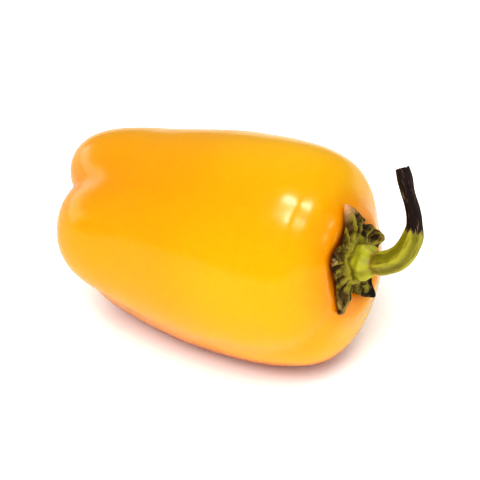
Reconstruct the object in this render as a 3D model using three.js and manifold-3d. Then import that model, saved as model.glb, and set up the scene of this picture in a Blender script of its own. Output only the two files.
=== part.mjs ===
// A small sweet bell pepper, as picked: the fruit lies on its side on a small flat spot,
// with its dried calyx and its bent, drying stem.
// Units are millimetres and degrees. +Z is up, +X runs along the fruit to the stem end,
// and the origin is on the resting plane, under the middle of the pepper.

import * as THREE from "three";
import { mergeVertices } from "three/addons/utils/BufferGeometryUtils.js";
import Module from "manifold-3d";

// ---- The fruit ----
const FRUIT_LENGTH = 69.5; // from the rim of the blossom end to the rim of the stem end
const SHOULDER_RADIUS = 25.2; // the widest girth, towards the stem end
const SHOULDER_FROM_RIM = 20.3; // how far the widest girth lies from the stem end
const TOE_RADIUS = 20.6; // where the blossom end turns into the sides
const TOE_FROM_RIM = 8.5;
const BLOSSOM_RIM_RADIUS = 12.3; // the furthest ring of the blossom end
const BLOSSOM_DIMPLE = 3.9; // depth of the hollow in the blossom end
const STEM_RIM_RADIUS = 11.5; // the furthest ring of the stem end
const STEM_DIMPLE = 1.4; // depth of the hollow that the calyx sits in

// Grooves run along the fruit from end to end and part it into three lobes. An angle is
// measured round the fruit's axis, from the front (-Y) over the top (+Z).
// A lobe starts at its own groove and ends at the next one; swell is its extra girth as a
// share of the radius, and reach is how far its toe stands out past the blossom rim.
const LOBES = [
  { name: "top", groove: 53, swell: -0.05, reach: 3.5 },
  { name: "back", groove: 179, swell: 0.118, reach: -1.6 },
  { name: "front", groove: 316, swell: -0.025, reach: -0.8 },
];
const GROOVE_SHARE_BLOSSOM = 0.235; // groove depth as a share of the radius, at the toe
const GROOVE_SHARE_MIDDLE = 0.045;
const GROOVE_SHARE_STEM = 0.1;
const GROOVE_SOFTNESS = 0.12; // rounds the bottom of each groove
const RIDGE_BLUNTNESS = 0.75; // under 1 broadens the ridges and narrows the grooves
const GROOVE_INSET = 1.2; // how far a groove draws the toe in along the axis
// Shares of the fruit's length, from the blossom end:
const TOE_GROOVES_END = 0.45; // the deep grooves of the toe have run out here
const STEM_GROOVES_START = 0.72; // the grooves of the stem end begin here
const TOE_REACH_END = 0.3; // the lobes' reach and the grooves' inset have run out here

const FLAT_DEPTH = 0.45; // how much the fruit is flattened where it rests

// ---- The calyx: a five-toothed green star on the stem end ----
const CALYX_TEETH = [
  { angle: 26, radius: 10.6 },
  { angle: 87, radius: 13.4 },
  { angle: 174, radius: 9.9 },
  { angle: 250, radius: 11.9 },
  { angle: 311, radius: 12.6 },
];
const CALYX_RISE = 0.8; // how far the calyx's middle lies above the fruit's axis
const CALYX_WEB_RADIUS = 8.2; // the edge between two teeth
const TOOTH_SHARPNESS = 1.6; // over 1 makes the teeth pointed and the webs broad
const CALYX_EDGE = 0.7; // how far the edge stands above the skin
const CALYX_THICKNESS = 1.6; // how far the leafy part stands above the skin
const COLLAR_HEIGHT = 3.2; // the raised seat of the stem, above the bottom of the dimple
const COLLAR_LEDGE = 0.4; // how far the collar's flat top stands out round the stem's foot
const COLLAR_SLOPE = 1.4; // width of the slope from the flat top to the leafy part

// ---- The stem: bent upwards, green and swollen below, dry and thin above ----
const STEM_LENGTH = 31;
const STEM_FOOT_RADIUS = 3.5;
const STEM_GREEN_RADIUS = 2.75;
const STEM_DRY_RADIUS = 1.5;
const STEM_DRY_FROM = 0.6; // share of the length where the dry part starts
const STEM_BEND = 112; // how far it turns, from along the fruit's axis
const STEM_BEND_TO = 25; // the bend starts at the foot and ends this far along the stem
const STEM_LEAN = 16; // how far the plane of the bend leans back
const STEM_FLUTES = 5;
const STEM_FLUTE_SHARE = 0.06; // depth of a flute as a share of the radius

const GAP = 0.3; // kept between touching pieces

// ---- Fineness of the meshes ----
const FRUIT_RINGS = 48;
const FRUIT_SEGMENTS = 60;
const CALYX_RINGS = 14;
const CALYX_SEGMENTS = 60;
const STEM_RINGS = 26;
const STEM_SEGMENTS = 20;

const { degToRad, radToDeg, smoothstep, lerp, euclideanModulo } = THREE.MathUtils;

// ---- Shape of the fruit ----

// The outline of the fruit without its lobes, from the middle of the blossom end to the
// middle of the stem end. x is the distance along the axis and y is the radius.
function fruitOutline() {
  const end = FRUIT_LENGTH;
  const widest = end - SHOULDER_FROM_RIM;
  const side = widest - TOE_FROM_RIM;
  const swelling = SHOULDER_RADIUS - TOE_RADIUS;
  const corner = SHOULDER_RADIUS - STEM_RIM_RADIUS;
  const toe = TOE_RADIUS - BLOSSOM_RIM_RADIUS;
  return new THREE.SplineCurve([
    new THREE.Vector2(BLOSSOM_DIMPLE, 0),
    new THREE.Vector2(BLOSSOM_DIMPLE * 0.74, BLOSSOM_RIM_RADIUS * 0.3),
    new THREE.Vector2(BLOSSOM_DIMPLE * 0.15, BLOSSOM_RIM_RADIUS * 0.64),
    new THREE.Vector2(0, BLOSSOM_RIM_RADIUS),
    new THREE.Vector2(TOE_FROM_RIM * 0.29, BLOSSOM_RIM_RADIUS + toe * 0.58),
    new THREE.Vector2(TOE_FROM_RIM, TOE_RADIUS),
    new THREE.Vector2(TOE_FROM_RIM + side * 0.3, TOE_RADIUS + swelling * 0.45),
    new THREE.Vector2(TOE_FROM_RIM + side * 0.67, TOE_RADIUS + swelling * 0.9),
    new THREE.Vector2(widest, SHOULDER_RADIUS),
    new THREE.Vector2(end - SHOULDER_FROM_RIM * 0.53, SHOULDER_RADIUS - corner * 0.08),
    new THREE.Vector2(end - SHOULDER_FROM_RIM * 0.25, SHOULDER_RADIUS - corner * 0.28),
    new THREE.Vector2(end - SHOULDER_FROM_RIM * 0.085, SHOULDER_RADIUS - corner * 0.73),
    new THREE.Vector2(end, STEM_RIM_RADIUS),
    new THREE.Vector2(end - STEM_DIMPLE * 0.6, STEM_RIM_RADIUS * 0.6),
    new THREE.Vector2(end - STEM_DIMPLE, 0),
  ]);
}

// The lobe that an angle falls in, and how near it is to that lobe's ridge: 0 in the
// groove, 1 on the ridge.
function lobeAt(angle) {
  for (let i = 0; i < LOBES.length; i += 1) {
    const start = LOBES[i].groove;
    const span = euclideanModulo(LOBES[(i + 1) % LOBES.length].groove - start, 360);
    const into = euclideanModulo(angle - start, 360);
    if (into < span) {
      const wave = Math.sin((Math.PI * into) / span);
      const lowest = GROOVE_SOFTNESS;
      const rounded = (Math.hypot(wave, lowest) - lowest) / (Math.hypot(1, lowest) - lowest);
      return { lobe: LOBES[i], ridge: rounded ** RIDGE_BLUNTNESS };
    }
  }
  throw new Error("the grooves don't go round the fruit");
}

// One point of the lobed skin: how far along the axis, and how far from it.
function skinAt(outlinePoint, angle) {
  const { lobe, ridge } = lobeAt(angle);
  const along = outlinePoint.x / FRUIT_LENGTH;
  const atToe = (1 - smoothstep(along, 0, TOE_GROOVES_END)) ** 1.5;
  const atStem = smoothstep(along, STEM_GROOVES_START, 1);
  const depth =
    GROOVE_SHARE_MIDDLE +
    (GROOVE_SHARE_BLOSSOM - GROOVE_SHARE_MIDDLE) * atToe +
    (GROOVE_SHARE_STEM - GROOVE_SHARE_MIDDLE) * atStem;
  const offPole = Math.sin((Math.PI / 2) * Math.min(1, outlinePoint.y / BLOSSOM_RIM_RADIUS));
  const drawn = (1 - smoothstep(along, 0, TOE_REACH_END)) * offPole;
  return {
    axial: outlinePoint.x + drawn * (GROOVE_INSET * (1 - ridge) - lobe.reach * ridge),
    radius: outlinePoint.y * (1 - depth * (1 - ridge) + lobe.swell * ridge),
  };
}

// A place in the fruit's own frame, from a distance along an axis, a radius and an angle.
// rise is how far that axis lies above the fruit's own.
function placeAt(axial, radius, angle, rise = 0) {
  const turn = degToRad(angle);
  return new THREE.Vector3(axial, -radius * Math.cos(turn), rise + radius * Math.sin(turn));
}

// Moves each vertex of a lathe to reshape(index of its outline point, its angle).
function reshapeLathe(geometry, outlineCount, segments, reshape) {
  const position = geometry.getAttribute("position");
  for (let i = 0; i < position.count; i += 1) {
    const segment = Math.floor(i / outlineCount) % segments;
    const moved = reshape(i % outlineCount, 180 - (segment * 360) / segments);
    position.setXYZ(i, moved.x, moved.y, moved.z);
  }
  return geometry;
}

const outline = fruitOutline().getPoints(FRUIT_RINGS);
outline[0].y = 0;
outline[FRUIT_RINGS].y = 0;

function fruitSkin() {
  const profile = outline.map((point) => new THREE.Vector2(point.y, point.x));
  const lathe = new THREE.LatheGeometry(profile, FRUIT_SEGMENTS);
  return reshapeLathe(lathe, profile.length, FRUIT_SEGMENTS, (ring, angle) => {
    const { axial, radius } = skinAt(outline[ring], angle);
    return placeAt(axial, radius, angle);
  });
}

// How far along the axis the skin of the stem end lies under a place of the calyx.
function stemEndSkin(place) {
  const radius = Math.hypot(place.y, place.z);
  const angle = radToDeg(Math.atan2(place.z, -place.y));
  let inner = skinAt(outline[FRUIT_RINGS], angle);
  for (let ring = FRUIT_RINGS - 1; ring > 0; ring -= 1) {
    const outer = skinAt(outline[ring], angle);
    if (outer.radius >= radius) {
      const share = (radius - inner.radius) / (outer.radius - inner.radius);
      return lerp(inner.axial, outer.axial, share);
    }
    inner = outer;
  }
  throw new Error("the calyx is wider than the fruit");
}

// ---- Solids ----

const wasm = await Module();
wasm.setup();

function toSolid(geometry) {
  const bare = geometry.clone();
  bare.deleteAttribute("normal");
  bare.deleteAttribute("uv");
  const merged = mergeVertices(bare, 1e-4);
  return new wasm.Manifold(
    new wasm.Mesh({
      numProp: 3,
      vertProperties: merged.getAttribute("position").array,
      triVerts: new Uint32Array(merged.getIndex().array),
    }),
  );
}

function toGeometry(solid) {
  const mesh = solid.getMesh();
  const geometry = new THREE.BufferGeometry();
  geometry.setAttribute("position", new THREE.BufferAttribute(mesh.vertProperties, 3));
  geometry.setIndex(new THREE.BufferAttribute(mesh.triVerts, 1));
  geometry.computeVertexNormals();
  return geometry;
}

// The middle of the volume that a closed geometry holds.
function centroidOf(geometry) {
  const index = geometry.getIndex();
  const position = geometry.getAttribute("position");
  const corners = [new THREE.Vector3(), new THREE.Vector3(), new THREE.Vector3()];
  const cross = new THREE.Vector3();
  const weighted = new THREE.Vector3();
  let total = 0;
  for (let i = 0; i < index.count; i += 3) {
    corners.forEach((corner, k) => corner.fromBufferAttribute(position, index.getX(i + k)));
    const volume = cross.crossVectors(corners[1], corners[2]).dot(corners[0]) / 6;
    corners.forEach((corner) => weighted.addScaledVector(corner, volume / 4));
    total += volume;
  }
  return weighted.divideScalar(total);
}

// How high a geometry's lowest vertex is once a matrix has turned it.
function lowestOf(geometry, matrix) {
  const position = geometry.getAttribute("position");
  const vertex = new THREE.Vector3();
  let lowest = Infinity;
  for (let i = 0; i < position.count; i += 1) {
    vertex.fromBufferAttribute(position, i).applyMatrix4(matrix);
    lowest = Math.min(lowest, vertex.z);
  }
  return lowest;
}

// The attitude in which the fruit lies along its own taper: of all pitches, the one that
// brings its centroid nearest to the ground. Its lowest point is then FLAT_DEPTH below 0.
function lyingPose(skin) {
  const centroid = centroidOf(skin);
  const turned = (pitch) => new THREE.Matrix4().makeRotationY(-degToRad(pitch));
  const heightOf = (pitch) =>
    centroid.clone().applyMatrix4(turned(pitch)).z - lowestOf(skin, turned(pitch));
  let pitch = 0;
  for (let step = 4; step > 0.02; step /= 2) {
    while (heightOf(pitch + step) < heightOf(pitch)) pitch += step;
    while (heightOf(pitch - step) < heightOf(pitch)) pitch -= step;
  }
  const pose = turned(pitch);
  return pose.setPosition(0, 0, -lowestOf(skin, pose) - FLAT_DEPTH);
}

// The fruit, turned into the pose and cut flat at z = 0.
function fruitBody(skin, pose) {
  const lying = skin.clone().applyMatrix4(pose);
  const room = 3 * FRUIT_LENGTH;
  const ground = new THREE.BoxGeometry(room, room, room).translate(0, 0, -room / 2);
  return toGeometry(toSolid(lying).subtract(toSolid(ground)));
}

// ---- The calyx ----

// How far the star reaches at an angle: at a tooth its tip, between two the web.
function calyxReach(angle) {
  const count = CALYX_TEETH.length;
  for (let i = 0; i < count; i += 1) {
    const tooth = CALYX_TEETH[i];
    const next = CALYX_TEETH[(i + 1) % count];
    const span = euclideanModulo(next.angle - tooth.angle, 360);
    const share = euclideanModulo(angle - tooth.angle, 360) / span;
    if (share < 1) {
      const tip = share < 0.5 ? tooth.radius : next.radius;
      return lerp(CALYX_WEB_RADIUS, tip, Math.abs(1 - 2 * share) ** TOOTH_SHARPNESS);
    }
  }
  throw new Error("the teeth don't go round the calyx");
}

const COLLAR_RADIUS = STEM_FOOT_RADIUS + COLLAR_LEDGE;
const COLLAR_TOP = FRUIT_LENGTH - STEM_DIMPLE + COLLAR_HEIGHT;

// How far along the axis the calyx's upper face lies: the collar's flat top in the middle,
// and round it the leafy part, which follows the skin.
function calyxTop(skinAxial, radius, share) {
  const leafy = skinAxial + lerp(CALYX_THICKNESS, CALYX_EDGE, smoothstep(share, 0.6, 1));
  const offCollar = smoothstep(radius, COLLAR_RADIUS, COLLAR_RADIUS + COLLAR_SLOPE);
  return lerp(COLLAR_TOP, leafy, offCollar);
}

function calyxBody() {
  const shares = Array.from({ length: CALYX_RINGS + 1 }, (_, i) => i / CALYX_RINGS);
  const under = shares.map((share) => ({ share, upper: false }));
  const over = shares.map((share) => ({ share, upper: true })).reverse();
  const section = [...under, ...over];
  const profile = section.map(({ share, upper }) => new THREE.Vector2(share, upper ? 1 : 0));
  const lathe = new THREE.LatheGeometry(profile, CALYX_SEGMENTS);
  return reshapeLathe(lathe, section.length, CALYX_SEGMENTS, (ring, angle) => {
    const { share, upper } = section[ring];
    const radius = share * calyxReach(angle);
    const place = placeAt(0, radius, angle, CALYX_RISE);
    const skinAxial = stemEndSkin(place);
    return place.setX(upper ? calyxTop(skinAxial, radius, share) : skinAxial + GAP);
  });
}

// ---- The stem ----

// The stem's centre line in steps: its heading turns from along the axis to STEM_BEND,
// and the plane of the bend leans back by STEM_LEAN.
function stemFrames() {
  const step = STEM_LENGTH / STEM_RINGS;
  const lean = degToRad(STEM_LEAN);
  const up = new THREE.Vector3(0, Math.sin(lean), Math.cos(lean));
  const across = new THREE.Vector3(0, Math.cos(lean), -Math.sin(lean));
  const centre = new THREE.Vector3(COLLAR_TOP + GAP, 0, CALYX_RISE);
  const frames = [];
  for (let i = 0; i <= STEM_RINGS; i += 1) {
    const heading = degToRad(STEM_BEND) * smoothstep(i * step, 0, STEM_BEND_TO);
    const forward = new THREE.Vector3(Math.cos(heading), 0, 0).addScaledVector(up, Math.sin(heading));
    const normal = new THREE.Vector3(-Math.sin(heading), 0, 0).addScaledVector(up, Math.cos(heading));
    frames.push({ centre: centre.clone(), normal, across });
    centre.addScaledVector(forward, step);
  }
  return frames;
}

// The stem's radius against the share of its length.
function stemOutline() {
  return new THREE.SplineCurve([
    new THREE.Vector2(0, STEM_FOOT_RADIUS),
    new THREE.Vector2(0.1, STEM_GREEN_RADIUS),
    new THREE.Vector2(STEM_DRY_FROM * 0.6, STEM_GREEN_RADIUS * 0.98),
    new THREE.Vector2(STEM_DRY_FROM * 0.85, lerp(STEM_DRY_RADIUS, STEM_GREEN_RADIUS, 0.75)),
    new THREE.Vector2(STEM_DRY_FROM, lerp(STEM_DRY_RADIUS, STEM_GREEN_RADIUS, 0.2)),
    new THREE.Vector2(0.8, STEM_DRY_RADIUS),
    new THREE.Vector2(0.93, STEM_DRY_RADIUS * 1.12),
    new THREE.Vector2(1, STEM_DRY_RADIUS * 0.85),
  ]);
}

// The outline's radius at each ring of the stem.
function stemRadii() {
  const samples = stemOutline().getPoints(200);
  return Array.from({ length: STEM_RINGS + 1 }, (_, ring) => {
    const share = ring / STEM_RINGS;
    const nearest = samples.reduce((best, point) =>
      Math.abs(point.x - share) < Math.abs(best.x - share) ? point : best,
    );
    return nearest.y;
  });
}

function stemBody() {
  const frames = stemFrames();
  const radii = stemRadii();
  const rings = radii.map((radius, ring) => ({ ring, radius }));
  const section = [{ ring: 0, radius: 0 }, ...rings, { ring: STEM_RINGS, radius: 0 }];
  const profile = section.map(({ ring, radius }) => new THREE.Vector2(radius, ring));
  const lathe = new THREE.LatheGeometry(profile, STEM_SEGMENTS);
  return reshapeLathe(lathe, section.length, STEM_SEGMENTS, (point, angle) => {
    const { ring, radius } = section[point];
    const { centre, normal, across } = frames[ring];
    const turn = degToRad(angle);
    const fluted = radius * (1 - STEM_FLUTE_SHARE * (1 - Math.cos(turn * STEM_FLUTES)));
    return centre
      .clone()
      .addScaledVector(normal, fluted * Math.sin(turn))
      .addScaledVector(across, -fluted * Math.cos(turn));
  });
}

// ---- Assembly ----

const pepper = new THREE.Group();
const crown = new THREE.Group(); // what grows on the stem end, in the fruit's own frame
pepper.add(crown);

function addPiece(parent, name, geometry, finish) {
  const piece = new THREE.Mesh(geometry, new THREE.MeshStandardMaterial(finish));
  piece.name = name;
  parent.add(piece);
}

const skin = fruitSkin();
const pose = lyingPose(skin);
crown.applyMatrix4(pose);

addPiece(pepper, "fruit_body", fruitBody(skin, pose), {
  color: "#fec516",
  roughness: 0.22,
  metalness: 0,
});
addPiece(crown, "calyx", calyxBody(), { color: "#8a8a1c", roughness: 0.75, metalness: 0 });
addPiece(crown, "stem", stemBody(), { color: "#93a02a", roughness: 0.6, metalness: 0 });

// The origin goes under the middle of the whole pepper, on the resting plane.
pepper.updateMatrixWorld(true);
const middle = new THREE.Box3().setFromObject(pepper, true).getCenter(new THREE.Vector3());
pepper.position.set(-middle.x, -middle.y, 0);

export default pepper;
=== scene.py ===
"""A small sweet bell pepper, as picked, lying on its side on a pale floor.

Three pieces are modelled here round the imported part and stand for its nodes: the lobed
fruit, the drying five-toothed calyx on its stem end, and the bent stem. Sizes in the
classes are millimetres and degrees. The meshes are metres, in the part's own frame.
"""

import logging
import math
from collections.abc import Callable, Mapping, Sequence
from dataclasses import dataclass, fields
from enum import Enum
from itertools import pairwise

import bpy
from mathutils import Matrix, Vector, noise

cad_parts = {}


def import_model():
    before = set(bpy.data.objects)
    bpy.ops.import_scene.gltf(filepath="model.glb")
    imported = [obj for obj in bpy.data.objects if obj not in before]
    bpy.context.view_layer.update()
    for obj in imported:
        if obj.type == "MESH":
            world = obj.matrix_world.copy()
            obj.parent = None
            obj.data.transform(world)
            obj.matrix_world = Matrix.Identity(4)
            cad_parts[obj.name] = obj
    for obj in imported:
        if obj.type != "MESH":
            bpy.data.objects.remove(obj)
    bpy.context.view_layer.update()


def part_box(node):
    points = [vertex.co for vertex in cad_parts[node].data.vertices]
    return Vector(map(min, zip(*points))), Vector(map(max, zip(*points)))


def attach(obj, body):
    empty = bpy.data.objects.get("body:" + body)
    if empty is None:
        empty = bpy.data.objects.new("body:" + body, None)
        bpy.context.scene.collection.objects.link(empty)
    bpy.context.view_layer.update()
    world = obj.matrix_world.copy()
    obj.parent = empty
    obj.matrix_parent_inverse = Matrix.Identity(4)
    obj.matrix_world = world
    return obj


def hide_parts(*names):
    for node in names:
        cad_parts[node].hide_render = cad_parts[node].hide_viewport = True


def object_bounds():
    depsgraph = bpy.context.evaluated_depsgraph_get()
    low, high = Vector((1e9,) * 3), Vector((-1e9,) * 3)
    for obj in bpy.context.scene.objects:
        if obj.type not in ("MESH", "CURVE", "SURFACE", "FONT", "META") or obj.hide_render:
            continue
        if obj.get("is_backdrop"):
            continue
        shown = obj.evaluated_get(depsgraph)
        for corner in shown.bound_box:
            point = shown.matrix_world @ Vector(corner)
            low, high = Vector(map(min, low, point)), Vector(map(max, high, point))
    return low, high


MM = 0.001  # metres in a millimetre

log = logging.getLogger("pepper")

Marks = dict[str, float | Vector]
Point = tuple[float, float]
Socket = bpy.types.NodeSocket


class Part(Enum):
    """The pepper's CAD nodes, each with the name of a material slot, which the pieces here don't use.
    """

    FRUIT = ("fruit_body", "fruit_skin")
    CALYX = ("calyx", "calyx_leaf")
    STEM = ("stem", "stem_skin")

    @property
    def node(self) -> str:
        """The name of the CAD node."""
        return self.value[0]

    @property
    def slot(self) -> str:
        """The name of the material slot."""
        return self.value[1]


# ---- Numbers and curves ----


def smoothstep(value: float, start: float, end: float) -> float:
    """Eases from 0 at start to 1 at end.

    Args:
        value: where to measure.
        start: where the ease begins.
        end: where it ends.

    Returns:
        The eased share, from 0 to 1.
    """
    share = min(1.0, max(0.0, (value - start) / (end - start)))
    return share * share * (3.0 - 2.0 * share)


def lerp(start: float, end: float, share: float) -> float:
    """Mixes two numbers by a share, which is 0 at start and 1 at end."""
    return start + (end - start) * share


def bell(value: float, width: float) -> float:
    """A soft hump: 1 at zero, and close to 0 two widths away."""
    return math.exp(-((value / width) ** 2))


def catmull_rom(points: Sequence[Point], steps: int) -> list[Point]:
    """Draws a smooth curve through points.

    Args:
        points: what the curve goes through.
        steps: how many pieces the curve is cut into.

    Returns:
        One more point than there are steps, from the first point to the last.
    """
    last = len(points) - 1
    curve = []
    for i in range(steps + 1):
        along = i / steps * last
        k = min(int(along), last - 1)
        w = along - k
        near = (points[max(k - 1, 0)], points[k], points[k + 1], points[min(k + 2, last)])
        curve.append(tuple(
            (2 * b - 2 * c + (c - a) / 2 + (d - b) / 2) * w**3
            + (-3 * b + 3 * c - (c - a) - (d - b) / 2) * w**2
            + (c - a) / 2 * w
            + b
            for a, b, c, d in zip(*near)
        ))
    return curve


def around_axis(axial: float, radius: float, angle: float, rise: float = 0.0) -> Vector:
    """A place in the fruit's own frame, whose axis is X.

    Args:
        axial: how far along the axis.
        radius: how far from the axis.
        angle: degrees round it, from the front (-Y) over the top (+Z).
        rise: how far that axis lies above the fruit's own.

    Returns:
        The place, in millimetres.
    """
    turn = math.radians(angle)
    return Vector((axial, -radius * math.cos(turn), rise + radius * math.sin(turn)))


def angle_of(place: Vector) -> float:
    """The angle round the axis of a place, in degrees, as around_axis counts it."""
    return math.degrees(math.atan2(place.z, -place.y)) % 360.0


def turned_past(angle: float, start: float) -> float:
    """How far an angle lies past another, from -180 to 180 degrees."""
    return (angle - start + 180.0) % 360.0 - 180.0


def sector_of(angle: float, starts: Sequence[float]) -> tuple[int, float]:
    """Finds where an angle falls among others that part the turn.

    Args:
        angle: degrees round the axis.
        starts: the angles where the sectors start, in turn.

    Returns:
        The sector's number, and the share of it that the angle is past its start.
    """
    for number, start in enumerate(starts):
        span = (starts[(number + 1) % len(starts)] - start) % 360.0
        into = (angle - start) % 360.0
        if into < span:
            break
    return number, into / span


def uneven(place: Vector, waves: Sequence[Point]) -> float:
    """Adds up noise at a place; each wave is (how fine, how strong)."""
    return sum(strength * noise.noise(place * fineness) for fineness, strength in waves)


@dataclass(frozen=True)
class Hump:
    """A soft hump along a measure, such as a rib across a tooth."""

    place: float
    width: float
    height: float = 1.0

    def at(self, value: float) -> float:
        """How high it stands at a value."""
        return self.height * bell(value - self.place, self.width)

    def at_angle(self, angle: float) -> float:
        """How high it stands at an angle, where its place is one too."""
        return self.height * bell(turned_past(angle, self.place), self.width)


# ---- Meshes ----


def spin_outline(name: str, outline: Sequence[Point], segments: int) -> bpy.types.Object:
    """Extrudes an outline point by point and spins it round the X axis.

    Args:
        name: the new piece's name.
        outline: (distance along the axis, radius) in millimetres, from pole to pole.
        segments: how many steps the spin takes.

    Returns:
        The closed skin, in object mode, with its normals outwards.
    """
    bpy.ops.object.select_all(action="DESELECT")
    bpy.ops.mesh.primitive_plane_add(size=MM, enter_editmode=True)
    bpy.ops.mesh.merge(type="CENTER")
    first = Vector((outline[0][0], 0.0, outline[0][1]))
    bpy.ops.transform.translate(value=first * MM)
    for (x0, r0), (x1, r1) in pairwise(outline):
        step = Vector((x1 - x0, 0.0, r1 - r0))
        bpy.ops.mesh.extrude_region_move(TRANSFORM_OT_translate={"value": step * MM})
    bpy.ops.mesh.select_all(action="SELECT")
    bpy.ops.mesh.spin(steps=segments, angle=math.tau, center=(0, 0, 0), axis=(1, 0, 0))
    bpy.ops.mesh.select_all(action="SELECT")
    bpy.ops.mesh.remove_doubles(threshold=0.002 * MM)
    bpy.ops.mesh.normals_make_consistent(inside=False)
    bpy.ops.object.mode_set(mode="OBJECT")
    piece = bpy.context.object
    piece.name = piece.data.name = name
    return piece


def reshape(piece: bpy.types.Object, move: Callable[[Vector], tuple[Vector, Marks]]) -> None:
    """Moves every vertex of a piece and marks it with values that its finish reads.

    Args:
        piece: the mesh object to change.
        move: gives a vertex's new place and its marks, from its old place, in millimetres.
    """
    marks: dict[str, list[float | Vector]] = {}
    for vertex in piece.data.vertices:
        place, values = move(vertex.co / MM)
        vertex.co = place * MM
        for name, value in values.items():
            marks.setdefault(name, []).append(value)
    for name, values in marks.items():
        if isinstance(values[0], Vector):
            attribute = piece.data.attributes.new(name, "FLOAT_VECTOR", "POINT")
            attribute.data.foreach_set("vector", [c for vector in values for c in vector])
        else:
            attribute = piece.data.attributes.new(name, "FLOAT", "POINT")
            attribute.data.foreach_set("value", values)
    piece.data.update()


def subdivide(piece: bpy.types.Object, levels: int) -> None:
    """Applies a Subdivision Surface to a piece.

    Args:
        piece: the mesh object to smooth.
        levels: how often each face is split.
    """
    bpy.context.view_layer.objects.active = piece
    modifier = piece.modifiers.new("smooth", "SUBSURF")
    modifier.levels = modifier.render_levels = levels
    bpy.ops.object.modifier_apply(modifier=modifier.name)


def settle(piece: bpy.types.Object, pose: Matrix) -> None:
    """Turns a piece from the fruit's own frame into its lying place, and smooths its shading.

    Args:
        piece: the mesh object, whose object then sits at the origin.
        pose: the fruit's turn and place, in metres.
    """
    bpy.ops.object.select_all(action="DESELECT")
    piece.select_set(True)
    bpy.context.view_layer.objects.active = piece
    piece.matrix_world = pose
    bpy.ops.object.transform_apply(location=True, rotation=True, scale=True)
    bpy.ops.object.shade_smooth()


def stand_for(piece: bpy.types.Object, part: Part, material: bpy.types.Material) -> None:
    """Dresses a finished piece and puts it in the frame in place of its CAD node."""
    piece.data.materials.append(material)
    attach(piece, "root")
    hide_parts(part.node)
    log.info("%s: %d faces, %s", piece.name, len(piece.data.polygons), material.name)


# ---- Finishes ----


def linear(colour: str) -> tuple[float, float, float, float]:
    """Turns an sRGB hex colour such as #fec516 to a linear one with full alpha."""
    shares = [int(colour[i : i + 2], 16) / 255.0 for i in (1, 3, 5)]
    curve = [c / 12.92 if c <= 0.04045 else ((c + 0.055) / 1.055) ** 2.4 for c in shares]
    return (*curve, 1.0)


def add_node(
    tree: bpy.types.NodeTree,
    kind: str,
    settings: Mapping[str, object] | None = None,
    inputs: Mapping[str | int, object] | None = None,
) -> bpy.types.Node:
    """Adds a node with its settings and its links.

    Args:
        tree: the node tree it goes in.
        kind: the node's type, without ShaderNode in front.
        settings: properties of the node, by name.
        inputs: a value for an input socket, or the output socket that it is linked to.

    Returns:
        The new node.
    """
    node = tree.nodes.new("ShaderNode" + kind)
    for name, value in (settings or {}).items():
        setattr(node, name, value)
    for key, value in (inputs or {}).items():
        if isinstance(value, bpy.types.NodeSocket):
            tree.links.new(value, node.inputs[key])
        else:
            node.inputs[key].default_value = value
    return node


# Sockets of a Mix node, by number, because their names repeat.
NUMBER_A, NUMBER_B, NUMBER_OUT = 2, 3, 0
COLOUR_A, COLOUR_B, COLOUR_OUT = 6, 7, 2

COLOURS = {"data_type": "RGBA"}  # for a Mix node that mixes colours
EASED = {"interpolation_type": "SMOOTHSTEP"}  # for a range that starts and ends softly


@dataclass(frozen=True)
class Pattern:
    """An uneven pattern that grew, drawn as noise."""

    size: float  # of its largest patches, in millimetres
    detail: float = 3.0  # how many finer patterns lie over it
    roughness: float = 0.6  # how strong those are
    relief: float = 0.0  # how much of its depth shows
    depth: float = 0.0  # millimetres
    follows: str = ""  # the vector mark that it runs along, where it doesn't lie by its place


@dataclass(frozen=True)
class Spread:
    """Turns the range of a pattern or a mark to the range that a finish needs."""

    low: float
    high: float
    least: float = 0.0
    most: float = 1.0
    source: str = ""  # the pattern or mark; without one, the finish says what it turns

    @property
    def settings(self) -> dict[str, float]:
        """What a range node is told."""
        return {"From Min": self.low, "From Max": self.high, "To Min": self.least, "To Max": self.most}


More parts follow.
